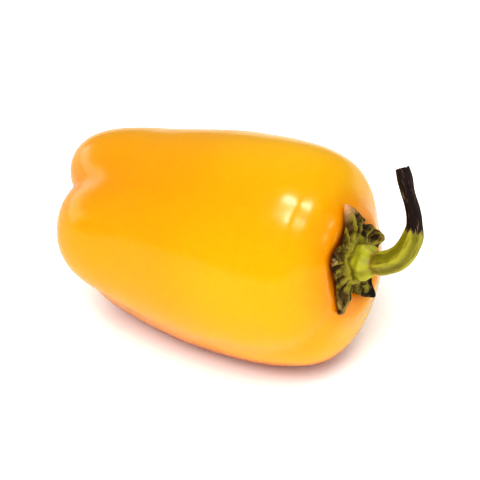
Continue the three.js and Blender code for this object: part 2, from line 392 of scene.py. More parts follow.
@dataclass(frozen=True)
class Finish:
    """What all finishes share: each reads the mesh's marks, and has patterns and spreads."""

    ior: float = 1.5
    glow: float = 0.0  # the share of light that spreads inside
    glow_mm: tuple[float, float, float] = (1.0, 1.0, 1.0)  # how far red, green and blue spread

    NAME = ""  # of the real material
    MARKS = ()

    def start(self) -> tuple[bpy.types.Material, bpy.types.NodeTree, dict[str, Socket]]:
        """Starts the material.

        Returns:
            The material, its node tree, and a socket for each mark, pattern and spread.
        """
        material = bpy.data.materials.new(self.NAME)
        material.use_nodes = True
        tree = material.node_tree
        tree.nodes.clear()
        place = add_node(tree, "TexCoord").outputs["Object"]
        at = {
            mark: add_node(tree, "Attribute", {"attribute_name": mark}).outputs["Fac"]
            for mark in self.MARKS
        }
        for name in (field.name for field in fields(self)):
            value = getattr(self, name)
            if isinstance(value, Pattern):
                where = place
                if value.follows:
                    where = add_node(tree, "Attribute", {
                        "attribute_name": value.follows,
                    }).outputs["Vector"]
                at[name] = add_node(tree, "TexNoise", {}, {
                    "Vector": where,
                    "Scale": 1.0 / (value.size * MM),
                    "Detail": value.detail,
                    "Roughness": value.roughness,
                }).outputs["Fac"]
            elif isinstance(value, Spread) and value.source:
                at[name] = add_node(tree, "MapRange", {}, {
                    "Value": at[value.source], **value.settings,
                }).outputs["Result"]
        return material, tree, at

    def dress(
        self,
        tree: bpy.types.NodeTree,
        at: Mapping[str, Socket],
        base: str,
        coats: Sequence[tuple[Socket, str | Socket]],
        reliefs: Sequence[str],
        inputs: Mapping[str, object],
        tone: Socket | None = None,
    ) -> None:
        """Builds the surface: colour over colour, relief over relief, shader and output.

        Args:
            tree: the material's node tree.
            at: the sockets of the patterns.
            base: the colour under all coats.
            coats: what lies over it in turn, as (its share, its colour).
            reliefs: the patterns that stand out, the broadest first.
            inputs: the shader's other inputs, by name.
            tone: how dark or light all the coats are.
        """
        colour = linear(base)
        for share, coat in coats:
            colour = add_node(tree, "Mix", COLOURS, {
                "Factor": share,
                COLOUR_A: colour,
                COLOUR_B: linear(coat) if isinstance(coat, str) else coat,
            }).outputs[COLOUR_OUT]
        if tone:
            colour = add_node(tree, "VectorMath", {"operation": "SCALE"}, {
                0: colour if coats else colour[:3], "Scale": tone,
            }).outputs["Vector"]
        bumps = {}
        for name in reliefs:
            pattern = getattr(self, name)
            bumps["Normal"] = add_node(tree, "Bump", {}, {
                "Height": at[name], "Strength": pattern.relief, "Distance": pattern.depth * MM, **bumps,
            }).outputs["Normal"]
        shader = add_node(tree, "BsdfPrincipled", {}, {
            "IOR": self.ior,
            "Subsurface Weight": self.glow,
            "Subsurface Radius": Vector(self.glow_mm) * MM,
            "Subsurface Scale": 1.0,
            "Base Color": colour,
            **bumps,
            **inputs,
        })
        add_node(tree, "OutputMaterial", {}, {"Surface": shader.outputs["BSDF"]})


@dataclass(frozen=True)
class WaxySkin(Finish):
    """The tight waxy skin of a ripe yellow pepper, grown smooth over wet, see-through flesh.

    The eye sees a saturated golden yellow that turns orange in the valleys and towards the
    ends, small sharp reflections from the wax, and light that spreads a little inside. The
    colour also holds painted light: a lighter yellow painted on the belly, orange painted
    as shade on the stem end and partly as shade in the valleys, and a darker painted shade
    underneath.
    """

    ripe: str = "#f8b300"  # the sides
    painted_light_lemon: str = "#fabf00"  # painted light: a lighter yellow round the shoulder
    orange_and_painted_shade: str = "#f79400"  # valleys and both ends: painted shade, which in the valleys is partly its own colour too
    painted_contact_shade: str = "#cc5c00"  # painted contact shade underneath, near the floor
    scar: str = "#5a3a1c"  # the dry mark where the flower sat
    glint: str = "#fffaf0"  # the wax is faintly yellow, and so are its reflections

    ior: float = 1.45
    glow: float = 0.35
    glow_mm: tuple[float, float, float] = (5.0, 2.0, 0.3)
    film: float = 0.08  # a thin film over the wax, which mirrors more sharply
    film_roughness: float = 0.08
    film_ior: float = 1.4
    scar_roughness: float = 0.8  # there is no wax on it

    patches: Pattern = Pattern(24.0, detail=2.0, roughness=0.45)  # broad, faint colour
    cells: Pattern = Pattern(0.9, relief=0.12, depth=0.04)  # coarser than real, or none would show
    ripples: Pattern = Pattern(7.0, 2.0, 0.4, relief=0.25, depth=0.25)  # dents as of a fingertip
    stretched: Spread = Spread(0.35, 0.65, 0.75, 1.0, "patches")  # how strong the painted light on the belly is, unevenly
    speckle: Spread = Spread(0.3, 0.7, 0.97, 1.02, "cells")  # how dark or light
    wax: Spread = Spread(0.3, 0.7, 0.17, 0.25, "patches")  # its roughness, where it is thin

    NAME = "ripe pepper skin"
    MARKS = ("groove", "ends", "belly", "underside", "scar")

    def material(self) -> bpy.types.Material:
        """Builds the material."""
        material, tree, at = self.start()
        # painted light: the lighter yellow on the belly
        painted_light_lemon = add_node(tree, "Math", {"operation": "MULTIPLY"}, {
            0: at["stretched"], 1: at["belly"],
        }).outputs[0]
        # painted shade: the orange of the valleys and the ends, in the valleys partly its own colour
        orange_and_painted_shade = add_node(tree, "Math", {"operation": "MAXIMUM"}, {
            0: at["groove"], 1: at["ends"],
        }).outputs[0]
        roughness = add_node(tree, "Mix", {}, {
            "Factor": at["scar"], NUMBER_A: at["wax"], NUMBER_B: self.scar_roughness,
        }).outputs[NUMBER_OUT]
        # painted contact shade underneath lies over the other colours, and the dry scar over all
        coats = (
            (painted_light_lemon, self.painted_light_lemon), (orange_and_painted_shade, self.orange_and_painted_shade), (at["underside"], self.painted_contact_shade),
            (at["scar"], self.scar),
        )
        self.dress(tree, at, self.ripe, coats, ("ripples", "cells"), {
            "Roughness": roughness,
            "Specular Tint": linear(self.glint),
            "Coat Weight": self.film,
            "Coat Roughness": self.film_roughness,
            "Coat IOR": self.film_ior,
        }, tone=at["speckle"])
        return material


@dataclass(frozen=True)
class DryingLeaf(Finish):
    """The leafy calyx, picked some days ago: green flesh that wrinkles, browns and blackens.

    The eye sees olive green with paler ribs, dark brown pits between them, near-black
    shrivelled tips, and pale pinkish edges where the skin has lifted and bleached.
    """

    green: str = "#7a6c14"
    rib: str = "#b0a638"
    brown: str = "#543506"
    charred: str = "#1c0e05"
    bleached: str = "#e2ab7e"

    ior: float = 1.42
    glow: float = 0.08
    glow_mm: tuple[float, float, float] = (1.0, 1.2, 0.2)

    blotches: Pattern = Pattern(2.2, detail=4.0, roughness=0.65)
    fibres: Pattern = Pattern(0.5, relief=0.7, depth=0.25, follows="leaf")
    pits: Pattern = Pattern(0.9, roughness=0.7, relief=0.6, depth=0.25)
    paler: Spread = Spread(0.42, 0.68, 0.0, 0.6, "fibres")
    drying: Spread = Spread(0.3, 0.7, -0.3, 0.5, "blotches")  # some brown later, some sooner
    browned: Spread = Spread(0.25, 0.85, 0.0, 0.95)
    flaking: Spread = Spread(0.35, 0.55, -0.5, 0.35, "pits")  # bleached skin lifts in flakes
    charring: Spread = Spread(0.35, 0.65, -0.35, 0.35, "blotches")
    blackened: Spread = Spread(0.35, 0.9, 0.0, 0.97)
    dullness: Spread = Spread(0.3, 0.7, 0.5, 0.8, "blotches")  # its roughness

    NAME = "drying calyx leaf"
    MARKS = ("rib", "brown", "scorch", "bleach")

    def material(self) -> bpy.types.Material:
        """Builds the material."""
        material, tree, at = self.start()
        pale = add_node(tree, "Math", {"operation": "MAXIMUM"}, {
            0: at["paler"], 1: at["rib"],
        }).outputs[0]
        browned, charred = (
            add_node(tree, "MapRange", EASED, {
                "Value": add_node(tree, "Math", {"operation": "ADD"}, {
                    0: at[pattern], 1: at[mark],
                }).outputs[0],
                **spread.settings,
            }).outputs["Result"]
            for pattern, mark, spread in (
                ("drying", "brown", self.browned), ("charring", "scorch", self.blackened),
            )
        )
        bleached = add_node(tree, "Math", {"operation": "MULTIPLY_ADD", "use_clamp": True}, {
            0: at["flaking"], 1: at["bleach"], 2: at["bleach"],
        }).outputs[0]
        coats = (
            (pale, self.rib), (browned, self.brown), (bleached, self.bleached), (charred, self.charred),
        )
        self.dress(tree, at, self.green, coats, ("fibres", "pits"), {"Roughness": at["dullness"]})
        return material


@dataclass(frozen=True)
class StemSkin(Finish):
    """A pepper's stem: smooth and fleshy where it is green, woody and dark where it has dried.

    The eye sees yellow-green ridges over olive flutes, a brown rim where the green stops,
    near-black dry bark with beige streaks, and pale torn wood at the cut.
    """

    green: str = "#86801c"
    ridge: str = "#b9b23c"
    knob: str = "#c3c03c"
    shade: str = "#64500e"
    rim: str = "#b89a5c"
    crease: str = "#8a5a26"
    bark: str = "#2a170d"
    streak: str = "#a58a6a"
    wood: str = "#c9a878"
    pith: str = "#6b4a2a"

    ior: float = 1.42
    glow: float = 0.08
    glow_mm: tuple[float, float, float] = (1.2, 1.5, 0.3)

    blotches: Pattern = Pattern(3.0)
    streaks: Pattern = Pattern(0.55, relief=0.6, depth=0.2, follows="rod")
    grain: Pattern = Pattern(0.35, relief=0.3, depth=0.1)
    blotched: Spread = Spread(0.3, 0.7, -0.25, 0.25, "blotches")  # how pale the ridges are
    fibrous: Spread = Spread(0.52, 0.72, 0.0, 0.8, "streaks")  # dark fibres in the green
    streaked: Spread = Spread(0.56, 0.72, 0.0, 0.75, "streaks")  # beige streaks in the bark
    creeping: Spread = Spread(0.3, 0.7, -0.3, 0.3, "streaks")  # some fibres dry further down
    dried: Spread = Spread(0.35, 0.65)
    rimmed: Spread = Spread(0.0, 0.25, 0.0, 0.7)  # where the drying starts
    torn: Spread = Spread(0.3, 0.7, 0.65, 1.1, "grain")
    dullness: Spread = Spread(0.2, 0.8, 0.42, 0.68, "dry")  # its roughness

    NAME = "drying pepper stem"
    MARKS = ("ridge", "knob", "crease", "dry", "cut", "core")

    def material(self) -> bpy.types.Material:
        """Builds the material."""
        material, tree, at = self.start()
        pale = add_node(tree, "Math", {"operation": "ADD", "use_clamp": True}, {
            0: at["blotched"], 1: at["ridge"],
        }).outputs[0]
        creep = add_node(tree, "Math", {"operation": "ADD"}, {
            0: at["creeping"], 1: at["dry"],
        }).outputs[0]
        dried = add_node(tree, "MapRange", EASED, {
            "Value": creep, **self.dried.settings,
        }).outputs["Result"]
        rim = add_node(tree, "MapRange", EASED, {
            "Value": dried, **self.rimmed.settings,
        }).outputs["Result"]
        bark, wood = (
            add_node(tree, "Mix", COLOURS, {
                "Factor": share, COLOUR_A: linear(under), COLOUR_B: linear(over),
            }).outputs[COLOUR_OUT]
            for share, under, over in (
                (at["streaked"], self.bark, self.streak), (at["core"], self.wood, self.pith),
            )
        )
        torn_wood = add_node(tree, "VectorMath", {"operation": "SCALE"}, {
            0: wood, "Scale": at["torn"],
        }).outputs["Vector"]
        coats = (
            (pale, self.ridge), (at["fibrous"], self.shade), (at["knob"], self.knob),
            (at["crease"], self.crease), (rim, self.rim), (dried, bark), (at["cut"], torn_wood),
        )
        self.dress(tree, at, self.green, coats, ("streaks", "grain"), {"Roughness": at["dullness"]})
        return material


@dataclass(frozen=True)
class MattFloor(Finish):
    """White painted board: matt, and even enough that only shadows show on it."""

    white: str = "#fbfaf8"
    bounce: float = 0.86  # the share of the bright floor wash that is let back on to the pepper
    mirrored: float = 0.72  # and the share that the wax mirrors
    roughness: float = 0.9
    gloss: float = 0.2
    grain: Pattern = Pattern(2.5, roughness=0.5)
    tone: Spread = Spread(0.3, 0.7, 0.985, 1.0, "grain")

    NAME = "white matt board"

    def material(self) -> bpy.types.Material:
        """Builds the material."""
        material, tree, at = self.start()
        rays = add_node(tree, "LightPath").outputs
        bounced = add_node(tree, "MapRange", {}, {
            "Value": rays["Is Diffuse Ray"], "To Min": 1.0, "To Max": self.bounce,
        }).outputs["Result"]
        dimmed = add_node(tree, "Mix", {}, {
            "Factor": rays["Is Glossy Ray"], NUMBER_A: bounced, NUMBER_B: self.mirrored,
        }).outputs[NUMBER_OUT]
        tone = add_node(tree, "Math", {"operation": "MULTIPLY"}, {0: at["tone"], 1: dimmed}).outputs[0]
        self.dress(tree, at, self.white, (), (), {
            "Roughness": self.roughness, "Specular IOR Level": self.gloss,
        }, tone=tone)
        return material


# ---- The fruit ----


@dataclass(frozen=True)
class Lobe:
    """One lobe of the fruit, from its own groove to the next lobe's."""

    groove: float  # degrees round the axis
    swell: float  # extra girth, as a share of the radius
    reach: float  # how far its toe stands out past the blossom rim


@dataclass
class Fruit:
    """The fruit: a shouldered, three-lobed skin that lies on its side on a small flat spot."""

    length: float = 69.5
    shoulder_radius: float = 25.2
    shoulder_from_rim: float = 20.3
    toe_radius: float = 20.6
    toe_from_rim: float = 8.5
    blossom_rim_radius: float = 12.3
    blossom_dimple: float = 3.9
    stem_rim_radius: float = 11.5
    stem_dimple: float = 1.4

    lobes: tuple[Lobe, ...] = (
        Lobe(groove=53, swell=-0.05, reach=3.5),  # top
        Lobe(groove=179, swell=0.118, reach=-1.6),  # back
        Lobe(groove=316, swell=-0.025, reach=-0.8),  # front
    )
    groove_share_blossom: float = 0.235
    groove_share_middle: float = 0.045
    groove_share_stem: float = 0.1
    groove_softness: float = 0.12
    ridge_bluntness: float = 0.75
    groove_inset: float = 1.2
    toe_grooves_end: float = 0.45
    stem_grooves_start: float = 0.72
    toe_reach_end: float = 0.3

    pitch: float = 7.0  # how far the stem end is tipped up, so that it lies along its taper
    flat_depth: float = 0.45
    dent_height: float = 0.16  # hand-feel unevenness of a grown skin
    dent_size: float = 13.0
    dent_waves: tuple[Point, ...] = ((1.0, 1.0), (2.2, 0.4))  # how fine, how strong
    painted_shade_height: float = 9.5  # height above the floor under which the skin is painted darker, as contact shade
    scar_radius: float = 1.1
    scar_height: float = 0.45

    rings: int = 48
    segments: int = 60
    finish: WaxySkin = WaxySkin()

    def __post_init__(self) -> None:
        """Draws the outline, which the calyx needs as well."""
        self.outline = self.draw_outline()
        self.pose = Matrix.Identity(4)

    def draw_outline(self) -> list[Point]:
        """The outline without its lobes: (distance along the axis, radius)."""
        end = self.length
        widest = end - self.shoulder_from_rim
        side = widest - self.toe_from_rim
        swelling = self.shoulder_radius - self.toe_radius
        corner = self.shoulder_radius - self.stem_rim_radius
        toe = self.toe_radius - self.blossom_rim_radius
        shoulder = self.shoulder_from_rim
        return catmull_rom([
            (self.blossom_dimple, 0.0),
            (self.blossom_dimple * 0.74, self.blossom_rim_radius * 0.3),
            (self.blossom_dimple * 0.15, self.blossom_rim_radius * 0.64),
            (0.0, self.blossom_rim_radius),
            (self.toe_from_rim * 0.29, self.blossom_rim_radius + toe * 0.58),
            (self.toe_from_rim, self.toe_radius),
            (self.toe_from_rim + side * 0.3, self.toe_radius + swelling * 0.45),
            (self.toe_from_rim + side * 0.67, self.toe_radius + swelling * 0.9),
            (widest, self.shoulder_radius),
            (end - shoulder * 0.53, self.shoulder_radius - corner * 0.08),
            (end - shoulder * 0.25, self.shoulder_radius - corner * 0.28),
            (end - shoulder * 0.085, self.shoulder_radius - corner * 0.73),
            (end, self.stem_rim_radius),
            (end - self.stem_dimple * 0.6, self.stem_rim_radius * 0.6),
            (end - self.stem_dimple, 0.0),
        ], self.rings)

    def lobe_at(self, angle: float) -> tuple[Lobe, float]:
        """Finds the lobe that an angle falls in.

        Args:
            angle: degrees round the axis.

        Returns:
            The lobe, and how near the angle is to its ridge: 0 in the groove, 1 on the ridge.
        """
        number, share = sector_of(angle, [lobe.groove for lobe in self.lobes])
        lowest = self.groove_softness
        wave = math.sin(math.pi * share)
        ridge = (math.hypot(wave, lowest) - lowest) / (math.hypot(1.0, lowest) - lowest)
        return self.lobes[number], ridge**self.ridge_bluntness

    def skin_at(self, axial: float, radius: float, angle: float) -> Point:
        """Moves a point of the outline to the lobed skin.

        Args:
            axial: the outline's distance along the axis.
            radius: the outline's radius.
            angle: degrees round the axis.

        Returns:
            The skin's distance along the axis, and its radius.
        """
        lobe, ridge = self.lobe_at(angle)
        along = axial / self.length
        at_toe = (1.0 - smoothstep(along, 0.0, self.toe_grooves_end)) ** 1.5
        at_stem = smoothstep(along, self.stem_grooves_start, 1.0)
        depth = (
            self.groove_share_middle
            + (self.groove_share_blossom - self.groove_share_middle) * at_toe
            + (self.groove_share_stem - self.groove_share_middle) * at_stem
        )
        off_pole = math.sin(math.pi / 2.0 * min(1.0, radius / self.blossom_rim_radius))
        drawn = (1.0 - smoothstep(along, 0.0, self.toe_reach_end)) * off_pole
        return (
            axial + drawn * (self.groove_inset * (1.0 - ridge) - lobe.reach * ridge),
            radius * (1.0 - depth * (1.0 - ridge) + lobe.swell * ridge),
        )

    def stem_end_skin(self, place: Vector) -> float:
        """How far along the axis the skin of the stem end lies under a place of the calyx."""
        radius = math.hypot(place.y, place.z)
        angle = angle_of(place)
        inner_axial, inner_radius = self.skin_at(*self.outline[-1], angle)
        for point in reversed(self.outline[:-1]):
            axial, outer_radius = self.skin_at(*point, angle)
            if outer_radius >= radius:
                share = (radius - inner_radius) / (outer_radius - inner_radius)
                return lerp(inner_axial, axial, share)
            inner_axial, inner_radius = axial, outer_radius
        raise ValueError("the calyx is wider than the fruit")

    def to_lobes(self, vertex: Vector) -> tuple[Vector, Marks]:
        """Moves a vertex of the spun outline to the lobed skin."""
        angle = angle_of(vertex)
        radius = math.hypot(vertex.y, vertex.z)
        return around_axis(*self.skin_at(vertex.x, radius, angle), angle), {}

    def to_grown(self, vertex: Vector) -> tuple[Vector, Marks]:
        """Gives a vertex of the smooth skin its unevenness, the scar's knob and its marks."""
        angle = angle_of(vertex)
        radius = math.hypot(vertex.y, vertex.z)
        along = vertex.x / self.length
        _, ridge = self.lobe_at(angle)

        outwards = Vector((0.0, vertex.y, vertex.z)).normalized()
        dent = uneven(vertex / self.dent_size, self.dent_waves)
        off_pole = smoothstep(radius, 3.0, 14.0)
        place = vertex + outwards * (self.dent_height * dent * off_pole)

        at_blossom = along < 0.3
        knob = 1.0 - smoothstep(radius, self.scar_radius * 0.5, self.scar_radius * 1.3)
        place.x -= self.scar_height * knob * at_blossom
        scar = (1.0 - smoothstep(radius, self.scar_radius, self.scar_radius * 1.6)) * at_blossom

        toe = 1.0 - smoothstep(along, -0.02, 0.5)
        # the stem-end face, where orange is painted as shade
        crown_shade = smoothstep(along, 0.6, 0.8) * (1.0 - smoothstep(radius, 8.0, 18.5))
        height = (self.pose @ (place * MM)).z / MM
        return place, {
            # orange in the valleys: partly its own colour, partly painted shade
            "groove": (1.0 - ridge) * lerp(0.2, 0.65, toe),
            # painted shade on the stem end, and faintly on the blossom end
            "ends": max(0.04 * toe, 0.75 * crown_shade),
            # painted light, on the belly short of the stem end
            "belly": smoothstep(along, 0.45, 0.75) * (1.0 - crown_shade),
            # painted contact shade: darker orange near the floor
            "underside": 0.9 * (1.0 - smoothstep(height, self.painted_shade_height * 0.5, self.painted_shade_height)),
            "scar": scar,
        }

    def lying_pose(self, piece: bpy.types.Object) -> Matrix:
        """Works out the lying place of the fruit from its own mesh and the CAD node's box.

        Args:
            piece: the fruit's mesh, in the fruit's own frame.

        Returns:
            The turn and place, in metres, that put it on its flat spot inside the CAD box.
        """
        turn = Matrix.Rotation(-math.radians(self.pitch), 4, "Y")
        turned = [turn @ vertex.co for vertex in piece.data.vertices]
        lowest = Vector(min(place[i] for place in turned) for i in range(3))
        highest = Vector(max(place[i] for place in turned) for i in range(3))
        cad_lowest, cad_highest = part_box(Part.FRUIT.node)
        shift = (cad_lowest + cad_highest - lowest - highest) / 2.0
        shift.z = -lowest.z - self.flat_depth * MM
        return Matrix.Translation(shift) @ turn

    def build(self) -> Matrix:
        """Makes the fruit.

        Returns:
            Its turn and place, which the calyx and the stem take as well.
        """
        piece = spin_outline("pepper_fruit", self.outline, self.segments)
        reshape(piece, self.to_lobes)
        subdivide(piece, levels=2)
        self.pose = self.lying_pose(piece)
        reshape(piece, self.to_grown)
        settle(piece, self.pose)
        for vertex in piece.data.vertices:
            vertex.co.z = max(0.0, vertex.co.z)
        stand_for(piece, Part.FRUIT, self.finish.material())
        return self.pose


# ---- The calyx ----


class Tip(Enum):
    """How far a tooth's tip has dried: (how bleached, how charred)."""

    GREEN = (0.1, 0.35)
    BLEACHED = (1.0, 0.0)
    DARK = (0.45, 0.6)
    CHARRED = (0.0, 1.0)


@dataclass(frozen=True)
class Tooth:
    """One tooth of the calyx."""

    angle: float  # degrees round the axis
    radius: float  # from the calyx's middle to the tip
    curl: float  # how far the tip lifts off the fruit
    tip: Tip


@dataclass
class Calyx:
    """The dried five-toothed star on the stem end, with the raised collar that bears the stem."""

    fruit: Fruit
    teeth: tuple[Tooth, ...] = (
        Tooth(angle=26, radius=11.4, curl=0.8, tip=Tip.DARK),
        Tooth(angle=87, radius=13.9, curl=1.0, tip=Tip.BLEACHED),
        Tooth(angle=174, radius=10.2, curl=1.6, tip=Tip.GREEN),
        Tooth(angle=250, radius=12.2, curl=1.6, tip=Tip.CHARRED),
        Tooth(angle=311, radius=13.0, curl=0.3, tip=Tip.DARK),
    )
    rise: float = 0.8
    web_radius: float = 7.9
    sharpness: float = 1.6
    edge: float = 0.55
    thickness: float = 1.5
    seat_gap: float = 0.08  # between its underside and the skin
    collar_height: float = 3.2
    collar_radius: float = 4.7
    collar_slope: float = 1.3
    collar_lobe_height: float = 0.3
    crease: Hump = Hump(3.7, 0.35, 0.35)  # where the collar meets the stem
    crease_depth: float = 0.55
    # Across a tooth, from its midrib at 0 to the web at 1:
    ribs: tuple[Hump, ...] = (Hump(0.0, 0.17), Hump(0.62, 0.13, 0.6))
    folds: tuple[Hump, ...] = (Hump(0.36, 0.14), Hump(1.0, 0.16, 0.8))
    web_lift: Hump = Hump(1.0, 0.35, 0.5)
    # Round the calyx, in degrees, and from its middle to the edge:
    shrivelled: Hump = Hump(128.0, 22.0)
    flaked: Hump = Hump(110.0, 40.0)
    flaked_ring: Hump = Hump(6.5, 2.2)
    rib_height: float = 0.8
    rib_fade: float = 0.6  # how much lower the ribs are at the edge
    fold_depth: float = 0.6
    wrinkle: float = 0.65
    veins: int = 23
    vein_width: float = 0.17  # share of the way to the next vein
    vein_height: float = 0.32
    ragged: float = 0.5  # how uneven the edge is
    outer_from: float = 0.55  # share of the radius where the edge begins to lift and char
    # Noise, as (how fine, how strong):
    edge_waves: tuple[Point, ...] = ((4.0, 1.0), (9.0, 0.6))
    crumple_waves: tuple[Point, ...] = ((0.7, 1.0), (1.5, 0.6))
    collar_waves: tuple[Point, ...] = ((0.9, 0.5),)
    vein_waves: tuple[Point, ...] = ((0.35, 0.55),)

    top_rings: int = 34
    under_rings: int = 12
    segments: int = 150
    finish: DryingLeaf = DryingLeaf()

    SHARE_MM = 10.0  # the spun disc's radius, which stands for a share of 1
    LEVEL_MM = 1.0  # the spun disc's upper face, above its lower one

    @property
    def collar_top(self) -> float:
        """How far along the axis the stem's seat lies."""
        return self.fruit.length - self.fruit.stem_dimple + self.collar_height

    def tooth_at(self, angle: float) -> tuple[Tooth, float]:
        """Finds the nearest tooth.

        Args:
            angle: degrees round the axis.

        Returns:
            The tooth, and how far the angle is from it towards the web: 0 on its midrib, 1 in
            the web.
        """
        number, share = sector_of(angle, [tooth.angle for tooth in self.teeth])
        if share < 0.5:
            return self.teeth[number], 2.0 * share
        return self.teeth[(number + 1) % len(self.teeth)], 2.0 - 2.0 * share

    def to_leaf(self, vertex: Vector) -> tuple[Vector, Marks]:
        """Moves a vertex of the spun disc to the calyx, and marks how it has dried there."""
        upper = vertex.x > self.LEVEL_MM / 2.0
        angle = angle_of(vertex)
        share = math.hypot(vertex.y, vertex.z) / self.SHARE_MM
        tooth, off_rib = self.tooth_at(angle)
        tip_bleached, tip_charred = tooth.tip.value
        turn = math.radians(angle)
        ray = Vector((math.cos(turn), math.sin(turn), 0.0))

        tip_pull = (1.0 - off_rib) ** self.sharpness
        reach = lerp(self.web_radius, tooth.radius, tip_pull)
        reach += self.ragged * uneven(ray, self.edge_waves)
        radius = share * reach
        place = around_axis(0.0, radius, angle, self.rise)
        skin = self.fruit.stem_end_skin(place)

        outer = smoothstep(share, self.outer_from, 1.0)
        leafy = smoothstep(radius, self.collar_radius, self.collar_radius + self.collar_slope)
        curl = tooth.curl * outer**2 * (1.0 - off_rib) ** 0.6
        lift = curl + outer**2 * self.web_lift.at(off_rib) * (1.0 + noise.noise(ray * 3.0))

        rib = sum(hump.at(off_rib) for hump in self.ribs)
        fold = sum(hump.at(off_rib) for hump in self.folds)
        fibres = noise.noise(ray * 14.0 + Vector((0.0, 0.0, radius * 0.25)))
        crumple = uneven(place, self.crumple_waves)
        vein_place = self.veins * turn / math.tau + uneven(place, self.vein_waves)
        vein = bell(vein_place % 1.0 - 0.5, self.vein_width)
        relief = leafy * (
            self.rib_height * rib * (1.0 - self.rib_fade * outer)
            + self.vein_height * vein
            - self.fold_depth * fold
            + self.wrinkle * (0.7 * fibres + 0.9 * crumple)
        )
        crease = self.crease.at(radius)
        collar_lobes = self.collar_lobe_height * math.cos(len(self.teeth) * turn + 0.6)
        collar_lobes += uneven(place, self.collar_waves)
        collar_lobes -= self.crease_depth * crease
        on_top = lerp(self.thickness, self.edge, smoothstep(share, 0.6, 1.0))
        leaf_level = skin + self.seat_gap + on_top + relief
        top = lerp(self.collar_top + collar_lobes * smoothstep(radius, 1.0, 3.6), leaf_level, leafy)
        level = max(top, skin + self.seat_gap + 0.25) if upper else skin + self.seat_gap
        place.x = level + lift

        scorch = max(
            tip_charred * smoothstep(share, self.outer_from, 0.95) * (1.0 - off_rib) ** 0.7,
            0.85 * self.shrivelled.at_angle(angle) * smoothstep(share, 0.35, 0.65),
            0.7 * tip_charred * outer,
        )
        pits = smoothstep(-crumple, 0.15, 0.7)
        bleach = tip_bleached * smoothstep(share, 0.8, 0.97) * (1.0 - off_rib) ** 4
        flaked = self.flaked.at_angle(angle) * self.flaked_ring.at(radius)
        bleach += 0.6 * flaked * smoothstep(crumple, 0.25, 0.6)
        return place, {
            "leaf": Vector((12.0 * ray.x, 12.0 * ray.y, 0.12 * radius)) * MM,
            "rib": lerp(0.8 * (1.0 - crease), 0.5 * rib * (1.0 - 0.7 * outer) + 0.65 * vein, leafy),
            "brown": lerp(0.8 * crease, 0.5 * fold + 0.5 * pits + 0.32 * (1.0 - vein), leafy),
            "scorch": scorch + 0.3 * leafy * pits,
            "bleach": bleach,
        }

    def build(self, pose: Matrix) -> None:
        """Makes the calyx.

        Args:
            pose: the fruit's turn and place.
        """
        under = [(0.0, self.SHARE_MM * i / self.under_rings) for i in range(self.under_rings + 1)]
        upper = [(self.LEVEL_MM, self.SHARE_MM * i / self.top_rings) for i in range(self.top_rings + 1)]
        piece = spin_outline("pepper_calyx", under + upper[::-1], self.segments)
        reshape(piece, self.to_leaf)
        subdivide(piece, levels=1)
        settle(piece, pose)
        stand_for(piece, Part.CALYX, self.finish.material())


# ---- The stem ----


